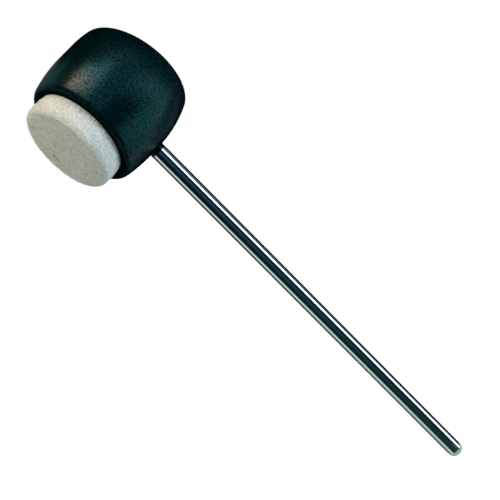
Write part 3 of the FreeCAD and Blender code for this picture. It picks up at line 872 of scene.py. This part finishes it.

# %% [markdown]
# ## Pressed wool felt
# The face is a disc of hard felt: wool fibres matted together with steam and pressure, undyed, in a warm
# off-white. It has no weave. Close up there is a fine mottle of fibres in all directions, some paler and
# some darker, and the surface is as matt as wool, with a soft sheen where it is seen at a slant. Wool
# fibres are about 0.03 mm thick. The mottle is drawn coarser than that, so that it shows in the picture.
# The pleats beside the lip and the crease in the face are darkened in colour towards an olive brown, by
# an
# attribute that the mesh brings with it: painted shade in the folds.

# %% Felt finish
pressed_felt, tree = new_material("pressed_wool_felt")
FIBRE_MOTTLE = 0.9 * MM
FIBRE_RELIEF = 0.18 * MM
PATCH_SIZE = 6 * MM
PATCH_SHARE = 0.35
FOLD_FROM = 0.25
FOLD_SHADE = 0.92
place = add(tree, "ShaderNodeTexCoord").outputs["Object"]
mottle = add(tree, "ShaderNodeTexNoise", {
    "Vector": place, "Scale": 1 / FIBRE_MOTTLE, "Detail": 5.0, "Roughness": 0.65, "Distortion": 0.8})
patch = add(tree, "ShaderNodeTexNoise", {
    "Vector": place, "Scale": 1 / PATCH_SIZE, "Detail": 2.0, "Roughness": 0.5})
contrast = add(tree, "ShaderNodeMapRange", {"Value": mottle, "From Min": 0.38, "From Max": 0.62})
fine = add(tree, "ShaderNodeMix", {0: contrast, 6: "#ABAA98", 7: "#FCFBF2"}, data_type="RGBA")
tinted = add(tree, "ShaderNodeMix", {0: patch, 6: "#DBD9CB", 7: "#E4E3D8"}, data_type="RGBA")
clean = add(tree, "ShaderNodeMix", {0: PATCH_SHARE, 6: fine, 7: tinted}, data_type="RGBA")
# The fold attribute darkens the colour towards olive brown in the pleats and the crease: painted shade
fold = add(tree, "ShaderNodeAttribute", attribute_name="fold")
shade = add(tree, "ShaderNodeMapRange", {
    "Value": fold.outputs["Fac"], "From Min": FOLD_FROM, "From Max": 1.0, "To Max": FOLD_SHADE})
tone = add(tree, "ShaderNodeMix", {0: shade, 6: clean, 7: "#6C6838"}, data_type="RGBA")
relief = add(tree, "ShaderNodeBump", {"Height": mottle, "Strength": 0.5, "Distance": FIBRE_RELIEF})
shader = add(tree, "ShaderNodeBsdfPrincipled", {
    "Base Color": tone, "Roughness": 0.94, "IOR": 1.45, "Specular IOR Level": 0.1,
    "Sheen Weight": 0.15, "Sheen Roughness": 0.5, "Normal": relief})
add(tree, "ShaderNodeOutputMaterial", {"Surface": shader})
print("made", pressed_felt.name)

# %% [markdown]
# ## The felt pad
# The disc is cut from thick felt and pushed into the bore, so its wall swells a little in front of the
# rubber lip that grips it, and is pinched a trace right beside the lip. The front edge is rounded by
# pressing and by use. The profile is spun with close columns, because the pleats are only about a
# millimetre apart.

# %% Spin the felt
FELT_COLUMNS = 720
EDGE_INWARD = 2.6 * MM
EDGE_BACK = 2.6 * MM
FACE_CROWN = 0.2 * MM
WALL_SWELL = 0.3 * MM
LIP_PINCH = 0.05 * MM
PINCH_REACH = 2.5 * MM
FACE_SWELL = 0.4 * MM
FACE_ROWS = 60
EDGE_ROWS = 14
WALL_ROWS = 26

flat_radius = felt_radius - EDGE_INWARD
felt_proud = lip_y - felt_front_y + FACE_SWELL
face_y = felt_front_y - FACE_SWELL
edge_y = face_y + FACE_CROWN
felt_profile = []
for y, r in run((face_y, 0), (face_y, flat_radius), FACE_ROWS):
    felt_profile.append((y + FACE_CROWN * (r / flat_radius) ** 2, r))
for i in range(1, EDGE_ROWS + 1):
    angle = math.pi / 2 * i / EDGE_ROWS
    edge_r = flat_radius + EDGE_INWARD * math.sin(angle)
    felt_profile.append((edge_y + EDGE_BACK * (1 - math.cos(angle)), edge_r))
felt_profile += run((edge_y + EDGE_BACK, felt_radius), (lip_y, felt_radius), WALL_ROWS)[1:]
for i, (y, r) in enumerate(felt_profile):
    share = max(0.0, r - flat_radius) / EDGE_INWARD
    swell = WALL_SWELL * share * math.sin(math.pi * (lip_y - y) / felt_proud)
    pinch = LIP_PINCH * max(0.0, 1 - (lip_y - y) / PINCH_REACH) ** 2
    felt_profile[i] = (y, r + swell - pinch)
felt_profile += run((lip_y, felt_radius), (felt_back_y, felt_radius), 2)[1:]
felt_profile += run((felt_back_y, felt_radius), (felt_back_y, 0), 3)[1:]
along_y = Matrix.Rotation(-math.pi / 2, 3, "X")
felt_shape = spin(felt_profile, FELT_COLUMNS, head_centre, along_y)
print("felt profile of", len(felt_profile), "points, spun to", len(felt_shape.faces), "faces")

# %% [markdown]
# ## Pleats, tufts and a crease
# A cloth simulation suits slack covers. This disc is stiff and full, so its points are moved by rule
# instead: a slow unevenness all over, fine tufts, pleats that fade away from the lip, and one short
# crease in the face. A wave round the wall gives the pleats. Noise in space makes them wander, deepens
# some and shortens others, because noise along an angle would leave a seam where the angle starts again.
# Round the top of the head the felt sits tight, and there are hardly any.

# %% Pleats and crease
PLEAT_COUNT = 128
PLEAT_WANDER = 2.2
PLEAT_PATCH = 1.6 * MM
PLEAT_DEPTH = 0.42 * MM
PLEAT_REACH = 4.2 * MM
PLEAT_STRETCH = 0.1
PLEAT_REST = 0.42
PLEAT_GAIN = 1.6
PLEAT_UNEVEN = 0.7
DEPTH_FINER = 1.7
REACH_MEAN = 0.8
REACH_FINER = 2.3
FULL_DEPTH_FOR = 1.3
TIGHT_FROM = 0.50
TIGHT_TO = 0.80
CREASE_POINTS = [(-13.4 * MM, 1.85 * MM), (-12.35 * MM, 1.14 * MM), (-13.1 * MM, -1.25 * MM)]
CREASE_HALF_WIDTH = 0.85 * MM
CREASE_DEPTH = 0.6 * MM
CREASE_STEEPNESS = 2.6


def between_limits(value):
    """The value, but at least 0 and at most 1."""
    return min(1.0, max(0.0, value))


def pleat_share(place, proud, up_share):
    """How far a point lies in a pleat, from 0 to 1, at a distance in front of the lip."""
    spot = Vector((place.x, PLEAT_STRETCH * proud, place.z)) / PLEAT_PATCH
    wander = PLEAT_WANDER * noise.noise(spot)
    wave = math.cos(PLEAT_COUNT * math.atan2(place.z, place.x) + wander)
    deepened = PLEAT_UNEVEN * noise.noise(spot * DEPTH_FINER)
    gathered = between_limits(-PLEAT_REST + PLEAT_GAIN * wave + deepened)
    reach = PLEAT_REACH * (REACH_MEAN + PLEAT_UNEVEN * noise.noise(spot * REACH_FINER))
    loose = 1 - between_limits((up_share - TIGHT_FROM) / (TIGHT_TO - TIGHT_FROM))
    return gathered * between_limits(FULL_DEPTH_FOR * (1 - proud / reach)) * loose


def crease_share(x, z):
    """How far a point of the face lies in the crease, from 0 to 1."""
    nearest = CREASE_HALF_WIDTH
    for start, end in zip(CREASE_POINTS, CREASE_POINTS[1:]):
        out = Vector((x, z)) - Vector(start)
        reach = Vector(end) - Vector(start)
        share = between_limits(out.dot(reach) / reach.length_squared)
        nearest = min(nearest, (out - reach * share).length)
    return between_limits(CREASE_STEEPNESS * (1 - (nearest / CREASE_HALF_WIDTH) ** 2))


print(PLEAT_COUNT, "pleats round the wall and a crease of", len(CREASE_POINTS), "points")

# %% Work the felt
UNEVEN_SIZE = 9 * MM
UNEVEN_DEPTH = 0.09 * MM
TUFT_SIZE = 1.3 * MM
TUFT_DEPTH = 0.05 * MM
# The fold mark presses in the pleats and the crease, and the felt's finish darkens their colour by it:
# painted shade
fold_mark = felt_shape.verts.layers.float.new("fold")
felt_shape.normal_update()
for vert in felt_shape.verts:
    proud = lip_y - vert.co.y
    if proud < 0:
        continue
    out = vert.co - head_centre
    radius = math.hypot(out.x, out.z)
    inward = UNEVEN_DEPTH * noise.noise(vert.co / UNEVEN_SIZE)
    inward += TUFT_DEPTH * noise.noise(vert.co / TUFT_SIZE)
    inward *= between_limits(proud / PLEAT_REACH)
    if radius > flat_radius:
        vert[fold_mark] = pleat_share(out, proud, out.z / radius)
        inward += PLEAT_DEPTH * vert[fold_mark]
    else:
        vert[fold_mark] = crease_share(out.x, out.z)
        inward += CREASE_DEPTH * vert[fold_mark]
    vert.co -= vert.normal * inward
bmesh.ops.recalc_face_normals(felt_shape, faces=felt_shape.faces)
felt_mesh = finish_mesh(felt_shape, "felt_face", sharp_degrees=75)
felt_mesh.materials.append(pressed_felt)
felt_face = show("felt_face", felt_mesh)
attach(felt_face, "head")
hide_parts("felt_pad")
print("felt_face has", len(felt_mesh.polygons), "faces")

# %% [markdown]
# ## Loose fibres
# Felt is never quite bald: short ends of wool lie on it in all directions and give it its soft edge. Hair
# particles would be lost when the model leaves Blender, so the fibres are small closed tubes, scattered
# by a Geometry Nodes tree and made real. Each is a flat arch with both ends in the felt. The tubes are
# thicker than wool, so that they show.

# %% Roots and strands of the fibres
rule, fibre_inputs = new_rule("fibre_rule", "Felt", "Seed", (
    "Density", "Front Of", "Length", "Thickness", "Arch", "Bend", "Tilt"))
given = add(rule, "NodeGroupInput").outputs
position = add(rule, "GeometryNodeInputPosition")
part = add(rule, "ShaderNodeSeparateXYZ", {0: position}).outputs
in_front = add(rule, "FunctionNodeCompare", {
    0: part["Y"], 1: given["Front Of"]}, data_type="FLOAT", operation="LESS_THAN")
roots = add(rule, "GeometryNodeDistributePointsOnFaces", {
    "Mesh": given["Felt"], "Selection": in_front, "Density": given["Density"],
    "Seed": given["Seed"]}, distribute_method="RANDOM")

half = add(rule, "ShaderNodeMath", {0: given["Length"], 1: 0.5}, operation="MULTIPLY")
back = add(rule, "ShaderNodeMath", {0: half, 1: -1.0}, operation="MULTIPLY")
start = add(rule, "ShaderNodeCombineXYZ", {"X": back})
middle = add(rule, "ShaderNodeCombineXYZ", {"Y": given["Bend"], "Z": given["Arch"]})
end = add(rule, "ShaderNodeCombineXYZ", {"X": half})
line = add(rule, "GeometryNodeCurveQuadraticBezier", {
    "Resolution": 3, "Start": start, "Middle": middle, "End": end})
radius = add(rule, "ShaderNodeMath", {0: given["Thickness"], 1: 0.5}, operation="MULTIPLY")
ring = add(rule, "GeometryNodeCurvePrimitiveCircle", {"Resolution": 3, "Radius": radius})
strand = add(rule, "GeometryNodeCurveToMesh", {"Curve": line, "Profile Curve": ring, "Fill Caps": True})
print("roots on the felt, and a strand to set on each")

# %% Lay the strands
FIBRE_SHORTEST = 0.5
FIBRE_LONGEST = 1.4
turn = add(rule, "FunctionNodeRandomValue", {
    2: 0.0, 3: 2 * math.pi, "Seed": given["Seed"]}, data_type="FLOAT")
lowest = add(rule, "ShaderNodeMath", {0: given["Tilt"], 1: -1.0}, operation="MULTIPLY")
tilt = add(rule, "FunctionNodeRandomValue", {
    2: lowest, 3: given["Tilt"], "Seed": given["Seed"]}, data_type="FLOAT")
size = add(rule, "FunctionNodeRandomValue", {
    2: FIBRE_SHORTEST, 3: FIBRE_LONGEST, "Seed": given["Seed"]}, data_type="FLOAT")
laid = add(rule, "ShaderNodeCombineXYZ", {"Y": tilt, "Z": turn})
laid = add(rule, "FunctionNodeEulerToRotation", {0: laid})
turned = add(rule, "FunctionNodeRotateRotation", {
    0: roots.outputs["Rotation"], 1: laid}, rotation_space="LOCAL")
scattered = add(rule, "GeometryNodeInstanceOnPoints", {
    "Points": roots.outputs["Points"], "Instance": strand, "Rotation": turned, "Scale": size})
real = add(rule, "GeometryNodeRealizeInstances", {0: scattered})
painted = add(rule, "GeometryNodeSetMaterial", {0: real, "Material": given["Material"]})
add(rule, "NodeGroupOutput", {0: painted})
print("tree of", len(rule.nodes), "nodes")

# %% Scatter the fibres
FIBRES_PER_SQUARE_MM = 2.2
FIBRE_LENGTH = 1.7 * MM
FIBRE_CLEARANCE = 1.2 * MM

# Loose ends of undyed wool, dull, each a little paler or darker than the next
loose_wool, tree = new_material("loose_wool_fibre")
place = add(tree, "ShaderNodeTexCoord").outputs["Object"]
strands = add(tree, "ShaderNodeTexNoise", {"Vector": place, "Scale": 1 / FIBRE_LENGTH, "Detail": 2.0})
tone = add(tree, "ShaderNodeMix", {0: strands, 6: "#CFCDBE", 7: "#F1F0E8"}, data_type="RGBA")
shader = add(tree, "ShaderNodeBsdfPrincipled", {
    "Base Color": tone, "Roughness": 0.7, "IOR": 1.55, "Specular IOR Level": 0.1})
add(tree, "ShaderNodeOutputMaterial", {"Surface": shader})

shape = grow("felt_fibres", felt_mesh.copy(), rule, fibre_inputs, {
    "Seed": 7,
    "Density": FIBRES_PER_SQUARE_MM / MM ** 2,
    "Front Of": lip_y - FIBRE_CLEARANCE,
    "Length": FIBRE_LENGTH,
    "Thickness": 0.07 * MM,
    "Arch": 0.16 * MM,
    "Bend": 0.5 * MM,
    "Tilt": math.radians(5),
    "Material": loose_wool,
})
bmesh.ops.recalc_face_normals(shape, faces=shape.faces)
fibre_mesh = finish_mesh(shape, "felt_fibres", sharp_degrees=80)
fibre_mesh.materials.append(loose_wool)
felt_fibres = show("felt_fibres", fibre_mesh)
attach(felt_fibres, "head")
print("felt_fibres has", len(fibre_mesh.polygons), "faces")

# %% [markdown]
# ## Finishes of the inner pieces
# The pin, the bushes, the core, the screws, the buffers and the backing disc are inside the head and keep
# their CAD shapes. Each still gets a finish of its own, because the head may be opened up or seen in
# section one day. The finishes differ in colour, in whether they are metal, and in the size and depth of
# their surface texture.

# %% Inner finishes
# Colours of the low and high spots, metallic, roughness range, texture size and depth in millimetres, and
# the nodes that wear the finish
INNER_FINISHES = {
    "ground_steel": ("#8C8F93", "#A6A9AD", 1.0, (0.22, 0.36), 0.5, 0.01, ["pivot_pin"]),
    "natural_nylon": ("#DAD6C6", "#E6E3D6", 0.0, (0.38, 0.50), 1.5, 0.02, ["bush_left", "bush_right"]),
    "black_glass_filled_nylon": (
        "#1B1C1E", "#26272A", 0.0, (0.48, 0.64), 0.8, 0.04, ["core_left", "core_right"]),
    "zinc_plated_steel": (
        "#9A9CA0", "#BCC0C4", 1.0, (0.26, 0.42), 1.2, 0.01, ["core_screws", "pad_screws"]),
    "soft_buffer_rubber": (
        "#141414", "#1E1E1D", 0.0, (0.62, 0.78), 1.0, 0.05, ["front_buffer", "rear_buffer"]),
    "black_abs": ("#1E1F21", "#292A2D", 0.0, (0.34, 0.46), 1.1, 0.02, ["pad_backing"]),
}
for name, (low, high, metallic, blur_range, size, depth, wearers) in INNER_FINISHES.items():
    finish, tree = new_material(name)
    place = add(tree, "ShaderNodeTexCoord").outputs["Object"]
    texture = add(tree, "ShaderNodeTexNoise", {"Vector": place, "Scale": 1 / (size * MM), "Detail": 4.0})
    tone = add(tree, "ShaderNodeMix", {0: texture, 6: low, 7: high}, data_type="RGBA")
    blur = add(tree, "ShaderNodeMapRange", {
        "Value": texture, "To Min": blur_range[0], "To Max": blur_range[1]})
    relief = add(tree, "ShaderNodeBump", {"Height": texture, "Strength": 0.5, "Distance": depth * MM})
    shader = add(tree, "ShaderNodeBsdfPrincipled", {
        "Base Color": tone, "Metallic": metallic, "Roughness": blur, "Normal": relief})
    add(tree, "ShaderNodeOutputMaterial", {"Surface": shader})
    for node in wearers:
        mesh = frame["nodes"][node].data
        mesh.materials.clear()
        mesh.materials.append(finish)
    print(name, "is worn by", ", ".join(wearers))
